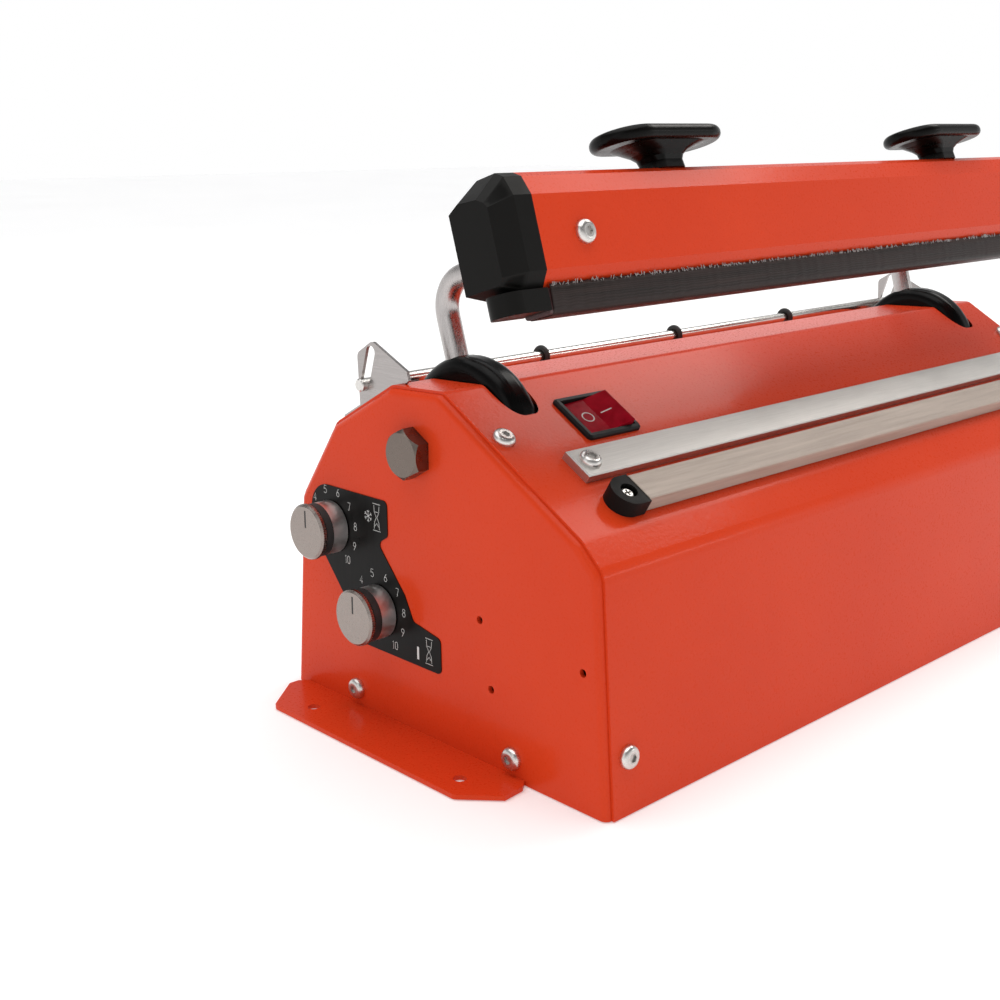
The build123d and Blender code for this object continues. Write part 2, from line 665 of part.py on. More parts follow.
def dial_label():
    """The thin dial plate round both knobs."""
    top_rear = (67, 99)
    outline = [(18.3, 32), (37, 32), (46, 52), (57.6, 65.5), (67, 78), top_rear,
               (14.6, 99.3), (14.4, 84), (21, 80), (4, 61), (-1.4, 50.6),
               (-18.3, 47.3), (-18.7, 32)]
    face = make_face(Polyline(*outline, close=True))
    by_distance = face.vertices().sort_by_distance((*top_rear, 0))
    face = fillet(by_distance[0], 12)
    sharp = [vertex for vertex in face.vertices()
             if min(math.dist((vertex.X, vertex.Y), point) for point in outline) < 0.01]
    face = fillet(sharp, 2.5)
    plate = extrude_side(face, -HALF - LABEL, -HALF)
    for y, z in (KNOB_SEALING, KNOB_COOLING):
        plate -= cylinder_x(BUSH_R + 0.1, -HALF - 1, -HALF + 1, y, z)
    return plate


# ---- film roller ----

def bracket_screw_places():
    """The seats of one bracket's two screws, on the rear slope."""
    return [REAR_SLOPE * Pos(-BRACKET_SCREW_X, along, 0) for along in BRACKET_SCREW_POS]


def roller_slot(x_from, x_to):
    """The round-ended slot that the roller's end drops down."""
    radius = ROLLER_R + 0.1
    rise = math.hypot(SLOT_TOP[0] - ROLLER_Y, SLOT_TOP[1] - ROLLER_Z)
    across = ((SLOT_TOP[1] - ROLLER_Z) / rise * radius, (ROLLER_Y - SLOT_TOP[0]) / rise * radius)
    sides = [(ROLLER_Y - across[0], ROLLER_Z - across[1]),
             (ROLLER_Y + across[0], ROLLER_Z + across[1]),
             (SLOT_TOP[0] + across[0], SLOT_TOP[1] + across[1]),
             (SLOT_TOP[0] - across[0], SLOT_TOP[1] - across[1])]
    slot = side_prism(sides, x_from, x_to)
    slot += cylinder_x(radius, x_from, x_to, *SLOT_TOP)
    slot += cylinder_x(radius, x_from, x_to, ROLLER_Y, ROLLER_Z)
    return slot


def roller_brackets():
    """Bent plates on the rear slope, each with a slot that the roller drops into."""
    x = -BRACKET_X
    half = BRACKET_SHEET / 2
    outline = [(12.8, 146), (6.8, 150.2), (8, 153.8), (30.1, 163.9), (40.1, 157.8), (38.6, 130)]
    plate = side_prism(outline, x - half, x + half)
    plate = fillet(plate.edges().filter_by(Axis.X).sort_by(Axis.Z)[-2:], 3)
    plate -= roller_slot(x - BRACKET_SHEET, x + BRACKET_SHEET)
    plate -= housing_block(COVER_TOP, x - BRACKET_SHEET, x + BRACKET_SHEET)
    foot = REAR_SLOPE * box_between((x - half, 4, 0), (x + 14, 41, BRACKET_FOOT))
    for place in bracket_screw_places():
        foot -= place * Cylinder(SMALL_R, 10)
    return both_sides(plate + foot)


def bracket_screws():
    """Four small screws through the brackets' feet."""
    screws = []
    for place in bracket_screw_places():
        screw = place * Pos(0, 0, BRACKET_FOOT) * small_screw(2.8, 2.0, 8)
        screws += both_sides(screw).solids()
    return screws


def roller_rod():
    """The steel rod that the film runs over."""
    rod = cylinder_x(ROLLER_R, -BRACKET_X - 4, BRACKET_X + 4, ROLLER_Y, ROLLER_Z)
    return chamfer(rod.edges().filter_by(GeomType.CIRCLE), 0.5)


def roller_rings():
    """Rubber rings that keep the film off the rod, evenly spaced."""
    rings = []
    section = (RING_R - ROLLER_R) / 2
    for step in range(-1, 2):
        ring = Rot(0, 90, 0) * Torus(ROLLER_R + section, section)
        rings.append(Pos(step * RING_PITCH, ROLLER_Y, ROLLER_Z) * ring)
    return rings


# ---- inside ----

def transformer_core():
    """The laminated iron core on the base, with its mounting feet."""
    core = Pos(0, 0, 32) * Box(60, 40, 52)
    for x in (-20, 20):
        core -= Pos(x, 0, 32) * Box(12, 42, 30)
    feet = Pos(0, 0, 7) * Box(86, 34, 2)
    core = core + feet
    for x in (-37, 37):
        core -= Pos(x, 0, 7) * Cylinder(2.2, 6)
    return Pos(TRANSFORMER_X, TRANSFORMER_Y, BASE_Z - 6) * core


def transformer_coil():
    """The winding round the core's middle limb."""
    coil = Pos(0, 0, 32) * Box(50.5, 58, 28)
    coil = fillet(coil.edges().filter_by(Axis.Z), 4)
    coil -= Pos(0, 0, 32) * Box(28.2, 40.2, 30)
    for x in (-29, 29):
        coil -= Pos(x, 0, 32) * Box(6.2, 40.2, 40)
    return Pos(TRANSFORMER_X, TRANSFORMER_Y, BASE_Z - 6) * coil


def timer_board():
    """The timing circuit board with its relay and capacitors, on four pillars."""
    board = Pos(0, 0, 14) * Box(90, 60, 1.6)
    parts = Pos(-25, 10, 14.8 + 8) * Box(28, 15, 16)
    for x in (5, 20):
        parts += Pos(x, 12, 14.8 + 7) * Cylinder(5, 14)
    for x in (-30, -15, 0, 15, 30):
        parts += Pos(x, -20, 14.8 + 4) * Box(8, 10, 8)
    pillars = Pos(-40, -25, 6.6) * Cylinder(3, 13.2)
    for x, y in ((-40, 25), (40, -25), (40, 25)):
        pillars += Pos(x, y, 6.6) * Cylinder(3, 13.2)
    return Pos(BOARD_X, BOARD_Y, BASE_Z) * (board + parts + pillars)


def terminal_block():
    """The mains terminal block behind the inlet."""
    block = Pos(0, 0, 8) * Box(50, 18, 16)
    for x in (-18, -6, 6, 18):
        block -= Pos(x, 0, 15) * Cylinder(2.5, 4)
        block -= Pos(x, 0, 6) * Box(5, 20, 5)
    return Pos(INLET_X, 40, BASE_Z) * block


def limit_switch():
    """The small switch beside the left drum, on its own stand."""
    body = Box(6.5, 20, 10)
    for y in (-4.8, 4.8):
        body -= Pos(0, y, -2) * Rot(0, 90, 0) * Cylinder(1.3, 8)
    stand_low = BASE_Z - SWITCH_STAND_Z
    stand = box_between((3.25, -7, stand_low), (5.25, 7, 5))
    beside_drum = -HUB_X + HUB_WIDTH / 2 + 6
    return Pos(beside_drum, PIVOT_Y + 44, SWITCH_STAND_Z) * (body + stand)


def power_inlet():
    """The panel mounted appliance inlet with its three pins."""
    flange = Pos(0, 0, 1) * Box(34, 26, 2)
    flange = fillet(flange.edges().filter_by(Axis.Z), 3)
    body = Pos(0, 0, -9) * Box(27.4, 19.4, 18)
    shell = flange + body - Pos(0, 0, -5) * Box(24, 16, 16)
    for x, y in ((-7, -2), (7, -2), (0, 2)):
        shell += Pos(x, y, -10) * Box(2, 4, 7)
    return rear_plane(INLET_X, INLET_Z) * shell


def export(name, shape):
    """Write one sub-part's STEP file."""
    if isinstance(shape, (list, ShapeList)):
        shape = Compound(children=list(shape))
    shape.label = name
    export_step(shape, f"parts/{name}.step")


def export_housing():
    """Sheet metal, its screws, and the fixed shaft."""
    export("left_side_plate", side_plate(left=True))
    export("right_side_plate", side_plate(left=False))
    export("left_foot_flange", foot_flange())
    export("right_foot_flange", mirror(foot_flange(), about=Plane.YZ))
    shell = cover_shell()
    export("top_cover", top_cover(shell))
    export("rear_panel", rear_panel(shell))
    export("base_plate", base_plate())
    export("cover_screws", cover_screws())
    export("side_screws", side_screws())
    export("pivot_shaft", pivot_shaft())
    export("pivot_bolts", pivot_bolts())


def export_lever():
    """Everything that swings about the shaft."""
    export("arm_hubs", arm_hubs())
    export("arm_rods", arm_rods())
    export("lever_springs", lever_springs())
    export("jaw_profile", jaw_profile())
    export("jaw_end_caps", jaw_end_caps())
    export("pressure_bar", pressure_bar())
    export("jaw_rubber", jaw_rubber())
    export("jaw_end_blocks", jaw_end_blocks())
    export("jaw_screws", jaw_screws())
    export("handles", handles())
    export("handle_screws", handle_screws())


def export_front_slope():
    """The seal bar, the guide rail and the power switch."""
    export("seal_bar", seal_bar())
    export("heating_band", heating_band())
    export("release_cover", release_cover())
    export("seal_end_blocks", seal_end_blocks())
    export("seal_screws", seal_screws())
    export("guide_rail", guide_rail())
    export("rail_screws", rail_screws())
    export("switch_housing", switch_housing())
    export("rocker_button", rocker_button())


def export_controls():
    """The dial plate, and each knob on its own spindle."""
    export("dial_label", dial_label())
    export("potentiometers", potentiometers())
    for name, place in (("sealing", KNOB_SEALING), ("cooling", KNOB_COOLING)):
        cap, ring, collar, spindle = knob_parts(place)
        export(f"{name}_knob_cap", cap)
        export(f"{name}_knob_ring", ring)
        export(f"{name}_knob_collar", collar)
        export(f"{name}_knob_spindle", spindle)


def export_roller():
    """The film roller and what carries it."""
    export("roller_brackets", roller_brackets())
    export("bracket_screws", bracket_screws())
    export("roller_rod", roller_rod())
    export("roller_rings", roller_rings())


def export_inside():
    """The electrical parts that the housing hides."""
    export("transformer_core", transformer_core())
    export("transformer_coil", transformer_coil())
    export("timer_board", timer_board())
    export("terminal_block", terminal_block())
    export("limit_switch", limit_switch())
    export("power_inlet", power_inlet())


os.makedirs("parts", exist_ok=True)
export_housing()
export_lever()
export_front_slope()
export_controls()
export_roller()
export_inside()
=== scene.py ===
import bpy
import json
import math
import random
from mathutils import Matrix, Vector, noise


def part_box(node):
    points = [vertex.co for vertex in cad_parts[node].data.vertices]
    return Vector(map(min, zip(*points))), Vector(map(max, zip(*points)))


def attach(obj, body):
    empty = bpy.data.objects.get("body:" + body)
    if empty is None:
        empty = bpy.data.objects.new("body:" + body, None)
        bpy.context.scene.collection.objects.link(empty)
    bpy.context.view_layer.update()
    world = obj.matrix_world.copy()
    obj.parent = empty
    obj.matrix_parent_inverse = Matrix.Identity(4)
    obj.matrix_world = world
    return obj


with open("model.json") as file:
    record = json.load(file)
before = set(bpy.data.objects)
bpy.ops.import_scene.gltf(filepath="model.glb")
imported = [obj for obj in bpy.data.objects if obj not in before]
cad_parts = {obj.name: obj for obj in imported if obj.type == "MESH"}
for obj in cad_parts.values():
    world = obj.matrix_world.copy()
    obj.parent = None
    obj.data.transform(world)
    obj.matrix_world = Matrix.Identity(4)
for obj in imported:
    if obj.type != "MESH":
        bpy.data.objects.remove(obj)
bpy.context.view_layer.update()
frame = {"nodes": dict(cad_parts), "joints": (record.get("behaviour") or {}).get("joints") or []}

# Looks of a table-top impulse heat sealer. Metres, in the CAD frame: +X right, -Y front, +Z up.

NODES = frame["nodes"]
random.seed(7)

# ---- places taken from the frame ----

MM = 0.001


def joint_place(name):
    """Where one of the frame's joints turns."""
    return Vector(next(j for j in frame["joints"] if j["name"] == name)["pos_m"])


LABEL_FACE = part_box("dial_label")[0].x
KNOB_BOXES = {
    "sealing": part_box("sealing_knob_cap"),
    "cooling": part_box("cooling_knob_cap"),
}
KNOB_CENTRES = {knob: (low + high) / 2 for knob, (low, high) in KNOB_BOXES.items()}
LEVER_PIVOT = joint_place("lever_swing")
ROCKER_PIVOT = joint_place("rocker_tilt")
SLOPE_TILT = math.radians(30.57)
LEVER_LEAN = math.radians(72.5)


# ---- small helpers for node materials ----

class Shader:
    """A material's node tree with short calls for the nodes used here."""

    def __init__(self, name):
        self.material = bpy.data.materials.new(name)
        self.material.use_nodes = True
        self.tree = self.material.node_tree
        self.tree.nodes.clear()
        self.bsdf = self.tree.nodes.new("ShaderNodeBsdfPrincipled")
        out = self.tree.nodes.new("ShaderNodeOutputMaterial")
        self.link(self.bsdf.outputs[0], out.inputs["Surface"])
        self.coords = self.tree.nodes.new("ShaderNodeTexCoord").outputs["Object"]

    def link(self, a, b):
        self.tree.links.new(a, b)

    def set(self, **values):
        """Fixed values on the shader's own sockets."""
        for key, value in values.items():
            self.bsdf.inputs[key.replace("_", " ")].default_value = value

    def node(self, kind, **values):
        made = self.tree.nodes.new(kind)
        for key, value in values.items():
            setattr(made, key, value)
        return made

    def mapping(self, scale=(1, 1, 1), rotation=(0, 0, 0)):
        made = self.node("ShaderNodeMapping")
        self.link(self.coords, made.inputs["Vector"])
        made.inputs["Scale"].default_value = scale
        made.inputs["Rotation"].default_value = rotation
        return made.outputs["Vector"]

    def noise(self, scale, detail=3.0, roughness=0.5, vector=None):
        made = self.node("ShaderNodeTexNoise")
        self.link(vector or self.coords, made.inputs["Vector"])
        made.inputs["Scale"].default_value = scale
        made.inputs["Detail"].default_value = detail
        made.inputs["Roughness"].default_value = roughness
        return made.outputs["Fac"]

    def voronoi(self, scale, vector, feature):
        made = self.node("ShaderNodeTexVoronoi", feature=feature)
        self.link(vector, made.inputs["Vector"])
        made.inputs["Scale"].default_value = scale
        return made.outputs["Distance"]

    def wave(self, scale, vector, direction="X", distortion=0.0):
        made = self.node("ShaderNodeTexWave", bands_direction=direction)
        self.link(vector, made.inputs["Vector"])
        made.inputs["Scale"].default_value = scale
        made.inputs["Distortion"].default_value = distortion
        return made.outputs["Fac"]

    def ramp(self, value, stops):
        """A colour ramp from (place, colour) stops; a number is taken as a grey."""
        made = self.node("ShaderNodeValToRGB")
        self.link(value, made.inputs["Fac"])
        elements = made.color_ramp.elements
        while len(elements) < len(stops):
            elements.new(0.5)
        for element, (place, colour) in zip(elements, stops):
            element.position = place
            if isinstance(colour, (int, float)):
                colour = (colour, colour, colour)
            element.color = (*colour, 1)
        return made.outputs["Color"]

    def math(self, operation, a, b):
        made = self.node("ShaderNodeMath", operation=operation)
        for socket, value in zip(made.inputs, (a, b)):
            if isinstance(value, (int, float)):
                socket.default_value = value
            else:
                self.link(value, socket)
        return made.outputs[0]

    def mix(self, factor, a, b):
        """Colour a where the factor is 0, colour b where it is 1."""
        made = self.node("ShaderNodeMix", data_type="RGBA")
        colours = [s for s in made.inputs if s.type == "RGBA"]
        self.link(factor, made.inputs[0])
        for socket, value in zip(colours, (a, b)):
            if isinstance(value, tuple):
                socket.default_value = (*value, 1)
            else:
                self.link(value, socket)
        return [s for s in made.outputs if s.type == "RGBA"][0]

    def worn(self, amount=0.5, spread=0.02):
        """1 along convex edges and 0 elsewhere, from the mesh's pointiness."""
        geometry = self.node("ShaderNodeNewGeometry")
        low = 0.5 + spread * (1 - amount)
        return self.ramp(geometry.outputs["Pointiness"], [(low, 0.0), (low + spread, 1.0)])

    def bump(self, height, distance, strength):
        made = self.node("ShaderNodeBump")
        made.inputs["Distance"].default_value = distance
        made.inputs["Strength"].default_value = strength
        self.link(height, made.inputs["Height"])
        self.link(made.outputs["Normal"], self.bsdf.inputs["Normal"])
        return made.outputs["Normal"]

    def colour(self, output):
        self.link(output, self.bsdf.inputs["Base Color"])

    def rough(self, output):
        self.link(output, self.bsdf.inputs["Roughness"])


# ---- materials ----

def powder_coat():
    """Orange-red powder coat: fine orange peel, faint cloudiness and small specks."""
    s = Shader("powder_coat")
    base = s.ramp(s.noise(9.0, 4.0, 0.6),
                  [(0.3, (0.64, 0.045, 0.010)), (0.7, (0.68, 0.052, 0.012))])
    specks = s.ramp(s.noise(1400.0, 1.0), [(0.74, 0.0), (0.80, 0.4)])
    s.colour(s.mix(specks, base, (0.50, 0.028, 0.006)))
    s.rough(s.ramp(s.noise(900.0, 2.0), [(0.3, 0.26), (0.7, 0.32)]))
    s.set(Specular_IOR_Level=0.08, Coat_Weight=0.10, Coat_Roughness=0.06, Coat_IOR=1.5)
    peel = s.math("ADD", s.noise(650.0, 1.0, 0.4), s.math("MULTIPLY", s.noise(1700.0, 1.0), 0.3))
    normal = s.bump(peel, 0.00009, 0.45)
    s.link(normal, s.bsdf.inputs["Coat Normal"])
    return s.material


def brushed(name, colour, rough, along="X", fine=1.0):
    """Metal with fine lines along one axis, faint stains and a changing sheen."""
    s = Shader(name)
    stretch = {"X": (1.5, 60, 60), "Y": (60, 1.5, 60), "Z": (60, 60, 1.5)}[along]
    lines = s.noise(26.0 * fine, 4.0, 0.65, s.mapping(stretch))
    stain = s.noise(22.0, 5.0, 0.6)
    dark = tuple(c * 0.80 for c in colour)
    tone = s.ramp(lines, [(0.30, dark), (0.70, colour)])
    stained = tuple(c * 0.70 for c in colour)
    s.colour(s.mix(s.ramp(stain, [(0.45, 0.0), (0.80, 0.45)]), tone, stained))
    s.rough(s.ramp(lines, [(0.3, rough * 0.8), (0.7, rough * 1.25)]))
    s.set(Metallic=1.0)
    s.bump(lines, 0.00002, 0.6)
    return s.material


def zinc_plate(name, low, high):
    """Zinc plating: mottled grey metal with small pits and rubbed edges."""
    s = Shader(name)
    mottle = s.noise(260.0, 3.0, 0.55)
    tone = s.ramp(mottle, [(0.25, low), (0.78, high)])
    s.colour(s.mix(s.worn(0.6), tone, tuple(c * 1.4 for c in high)))
    s.rough(s.ramp(mottle, [(0.3, 0.24), (0.7, 0.34)]))
    s.set(Metallic=1.0)
    s.bump(s.noise(900.0, 3.0), 0.00003, 0.4)
    return s.material


def turned(name, colour, centre, rough):
    """Faced aluminium: fine rings round a centre on the side plate."""
    ring_radians_per_metre = 21000.0
    s = Shader(name)
    shift = s.node("ShaderNodeVectorMath", operation="SUBTRACT")
    s.link(s.coords, shift.inputs[0])
    shift.inputs[1].default_value = centre
    flat = s.node("ShaderNodeVectorMath", operation="MULTIPLY")
    s.link(shift.outputs[0], flat.inputs[0])
    flat.inputs[1].default_value = (0.0, 1.0, 1.0)
    reach = s.node("ShaderNodeVectorMath", operation="LENGTH")
    s.link(flat.outputs[0], reach.inputs[0])
    phase = s.math("MULTIPLY", reach.outputs["Value"], ring_radians_per_metre)
    rings = s.math("SINE", phase, 0.0)
    jitter = s.noise(900.0, 2.0)
    tone = s.math("ADD", s.math("MULTIPLY", rings, 0.25), jitter)
    dark = tuple(c * 0.84 for c in colour)
    s.colour(s.ramp(tone, [(0.25, dark), (0.85, colour)]))
    s.rough(s.ramp(tone, [(0.2, rough * 0.8), (0.9, rough * 1.25)]))
    s.set(Metallic=1.0, Anisotropic=0.5)
    s.bump(rings, 0.000006, 0.7)
    return s.material


def moulded(name, colour, rough, gloss, grain=900.0, depth=0.00004):
    """Black moulded plastic with a fine grain and greyed edges."""
    s = Shader(name)
    cloud = s.noise(40.0, 4.0, 0.6)
    light = tuple(c * 1.4 + 0.0006 for c in colour)
    tone = s.ramp(cloud, [(0.35, colour), (0.75, light)])
    s.colour(s.mix(s.worn(0.4, 0.03), tone, tuple(c * 2.0 + 0.008 for c in colour)))
    s.rough(s.ramp(s.noise(130.0, 3.0), [(0.3, rough * 0.85), (0.7, rough * 1.15)]))
    s.set(Specular_IOR_Level=gloss)
    s.bump(s.noise(grain, 2.0, 0.5), depth, 0.5)
    return s.material


def polished_black():
    """The drums: polished plastic with faint turning marks and dust."""
    s = Shader("polished_black")
    dust = s.ramp(s.noise(700.0, 4.0, 0.7), [(0.62, 0.0), (0.80, 0.10)])
    s.colour(s.mix(dust, (0.004, 0.004, 0.004), (0.10, 0.09, 0.08)))
    s.rough(s.ramp(s.noise(50.0, 3.0), [(0.3, 0.17), (0.7, 0.26)]))
    s.set(Specular_IOR_Level=0.09)
    s.bump(s.noise(300.0, 2.0), 0.00002, 0.35)
    return s.material


def rubber(name, colour, rough=0.62):
    """Rubber with a dull bloom and a fine skin."""
    s = Shader(name)
    bloom = s.noise(160.0, 4.0, 0.6)
    s.colour(s.ramp(bloom, [(0.35, colour), (0.75, tuple(c * 1.7 + 0.01 for c in colour))]))
    s.rough(s.ramp(bloom, [(0.3, rough * 0.9), (0.7, min(1.0, rough * 1.2))]))
    s.bump(s.noise(1500.0, 2.0), 0.00005, 0.5)
    return s.material


def woven_cloth(name, colour, light, gloss, scale, spin=0.0):
    """Coated glass cloth: a fine square weave under a waxy, streaked skin."""
    s = Shader(name)
    place = s.mapping((1, 1, 1), (spin, 0, 0))
    warp = s.wave(scale, place, "X")
    weft = s.wave(scale, place, "Y")
    weave = s.math("MULTIPLY", warp, weft)
    streak = s.noise(14.0, 5.0, 0.65, s.mapping((1.2, 30, 30)))
    tone = s.ramp(streak, [(0.30, colour), (0.72, light)])
    crown = tuple(min(1.0, c * 1.35) for c in light)
    s.colour(s.mix(s.math("MULTIPLY", weave, 0.35), tone, crown))
    s.rough(s.ramp(streak, [(0.3, 0.36), (0.7, 0.52)]))
    s.set(Specular_IOR_Level=gloss)
    s.bump(weave, 0.00005, 0.5)
    return s.material


def rocker_red():
    """Dark translucent red plastic with depth under a glossy face."""
    s = Shader("rocker_red")
    swirl = s.noise(240.0, 3.0, 0.6)
    s.colour(s.ramp(swirl, [(0.3, (0.24, 0.003, 0.010)), (0.75, (0.36, 0.006, 0.018))]))
    s.rough(s.ramp(s.noise(500.0, 2.0), [(0.3, 0.12), (0.7, 0.20)]))
    s.set(Specular_IOR_Level=0.06, Coat_Weight=0.04, Coat_Roughness=0.06)
    s.bump(s.noise(600.0, 1.0), 0.00002, 0.3)
    return s.material


def printed_white():
    """Screen-printed ink, slightly uneven."""
    ink = (0.72, 0.72, 0.70)
    s = Shader("printed_white")
    s.colour(s.ramp(s.noise(1800.0, 3.0), [(0.3, tuple(c * 0.75 for c in ink)), (0.7, ink)]))
    s.rough(s.ramp(s.noise(900.0, 2.0), [(0.3, 0.45), (0.7, 0.6)]))
    s.bump(s.noise(2200.0, 2.0), 0.00001, 0.4)
    return s.material


def dial_film():
    """The dial plate's black film, semi-gloss with fine scuffs."""
    s = Shader("dial_film")
    scuff = s.noise(60.0, 5.0, 0.7, s.mapping((1, 6, 1), (0.6, 0, 0)))
    s.colour(s.ramp(scuff, [(0.4, (0.003, 0.0026, 0.0024)), (0.8, (0.008, 0.007, 0.0065))]))
    s.rough(s.ramp(scuff, [(0.3, 0.26), (0.7, 0.40)]))
    s.set(Specular_IOR_Level=0.10)
    s.bump(s.noise(1100.0, 2.0), 0.00002, 0.4)
    return s.material


def laminated():
    """Stacked iron sheets with a varnished face."""
    s = Shader("laminated")
    sheets = s.wave(600.0, s.mapping(), "Y")
    s.colour(s.ramp(sheets, [(0.2, (0.05, 0.05, 0.055)), (0.9, (0.22, 0.22, 0.24))]))
    s.rough(s.ramp(s.noise(80.0), [(0.3, 0.45), (0.7, 0.65)]))
    s.set(Metallic=0.8)
    s.bump(sheets, 0.0001, 0.7)
    return s.material


def winding_tape():
    """Amber tape wound over the transformer's coil."""
    s = Shader("winding_tape")
    turns = s.wave(110.0, s.mapping(), "Z", 1.2)
    s.colour(s.ramp(turns, [(0.1, (0.34, 0.20, 0.03)), (0.9, (0.55, 0.38, 0.07))]))
    s.rough(s.ramp(turns, [(0.2, 0.3), (0.8, 0.45)]))
    s.bump(turns, 0.0002, 0.5)
    return s.material


def board_green():
    """Solder mask with a hint of tracks below it."""
    s = Shader("board_green")
    tracks = s.voronoi(180.0, s.mapping((1, 1, 0.2)), "DISTANCE_TO_EDGE")
    s.colour(s.ramp(tracks, [(0.05, (0.03, 0.16, 0.06)), (0.12, (0.012, 0.09, 0.035))]))
    s.rough(s.ramp(s.noise(200.0), [(0.3, 0.28), (0.7, 0.42)]))
    s.bump(tracks, 0.00006, 0.4)
    return s.material


def nylon_white():
    """Natural nylon, faintly yellow with flow marks."""
    s = Shader("nylon_white")
    flow = s.noise(90.0, 4.0, 0.6, s.mapping((1, 3, 1)))
    s.colour(s.ramp(flow, [(0.3, (0.62, 0.60, 0.54)), (0.7, (0.74, 0.72, 0.67))]))
    s.rough(s.ramp(flow, [(0.3, 0.42), (0.7, 0.58)]))
    s.bump(s.noise(800.0, 2.0), 0.00004, 0.4)
    return s.material


def floor_paper():
    """The pale floor: a nearly white, fine-grained sheet."""
    s = Shader("floor_paper")
    s.colour(s.ramp(s.noise(3.0, 2.0), [(0.3, (0.86, 0.86, 0.86)), (0.7, (0.90, 0.90, 0.90))]))
    s.rough(s.ramp(s.noise(40.0), [(0.3, 0.85), (0.7, 0.95)]))
    s.set(Emission_Color=(1, 1, 1, 1), Emission_Strength=0.25)
    return s.material


# The knob caps' aluminium is much darker than the collars': painted shade for the dim surroundings
# their turned faces reflect.
CAP_ALUMINIUM_PAINTED_SHADE = (0.33, 0.285, 0.26)
COLLAR_ALUMINIUM = (0.92, 0.90, 0.88)
DEEP_BLACK = (0.0015, 0.0013, 0.001)

RED = powder_coat()
ZINC = zinc_plate("zinc_plate", (0.42, 0.405, 0.39), (0.54, 0.52, 0.50))
# The pivot bolts get a much darker copy of the zinc plate: painted shade for the dark surroundings
# their faces reflect.
BOLT_ZINC_PAINTED_SHADE = zinc_plate("bolt_zinc_painted_shade", (0.085, 0.070, 0.060), (0.12, 0.098, 0.085))
ROD = brushed("satin_rod", (0.52, 0.49, 0.48), 0.27, "Z", 1.2)
ROLLER = brushed("roller_steel", (0.78, 0.76, 0.73), 0.22, "X")
STAINLESS = brushed("bracket_stainless", (0.46, 0.43, 0.42), 0.24, "Y", 1.5)
RAIL = brushed("rail_aluminium", (0.62, 0.60, 0.575), 0.42, "X", 1.4)
ALUMINIUM = brushed("bar_aluminium", (0.74, 0.74, 0.74), 0.38, "X")
SHEET_ZINC = brushed("sheet_zinc", (0.60, 0.61, 0.62), 0.40, "X")
SPRING = brushed("spring_wire", (0.30, 0.30, 0.31), 0.35, "X")
# Knob caps and knurls use the darkened aluminium, with painted shade in its colour.
KNOB_METAL_PAINTED_SHADE = {knob: turned(f"{knob}_knob_metal_painted_shade", CAP_ALUMINIUM_PAINTED_SHADE, centre, 0.27)
              for knob, centre in KNOB_CENTRES.items()}
COLLAR_METAL = {knob: turned(f"{knob}_collar_metal", COLLAR_ALUMINIUM, centre, 0.45)
                for knob, centre in KNOB_CENTRES.items()}
CAP_PLASTIC = moulded("cap_plastic", DEEP_BLACK, 0.34, 0.05)
BLOCK_PLASTIC = moulded("block_plastic", DEEP_BLACK, 0.38, 0.05)
HANDLE_PLASTIC = moulded("handle_plastic", DEEP_BLACK, 0.28, 0.10, 500.0, 0.00003)
BEZEL_PLASTIC = moulded("bezel_plastic", (0.004, 0.004, 0.004), 0.32, 0.08)
DRUM_BLACK = polished_black()
RING_RUBBER = rubber("ring_rubber", (0.010, 0.010, 0.010))
SILICONE = rubber("silicone", (0.05, 0.018, 0.018), 0.5)
SEAL_CLOTH = woven_cloth("seal_cloth", (0.30, 0.235, 0.19), (0.47, 0.39, 0.33), 0.45, 1300.0,
                         -SLOPE_TILT)
BAND_CLOTH = woven_cloth("band_cloth", (0.010, 0.007, 0.006), (0.036, 0.024, 0.022), 0.14,
                         1500.0)
ROCKER = rocker_red()
WHITE_INK = printed_white()
LABEL = dial_film()
DARK_LINE = rubber("dark_fill", (0.008, 0.008, 0.008), 0.5)


# ---- carried-over CAD nodes ----

def dress(material, *names):
    """Give CAD nodes their material."""
    for name in names:
        obj = NODES[name]
        obj.data.materials.clear()
        obj.data.materials.append(material)


def soften(name, width):
    """Round a CAD node's sharp edges with a bevel modifier, its width in mm."""
    bevel = NODES[name].modifiers.new("soft_edges", "BEVEL")
    bevel.width = width * MM
    bevel.segments = 3
    bevel.limit_method = "ANGLE"
    bevel.angle_limit = math.radians(15)


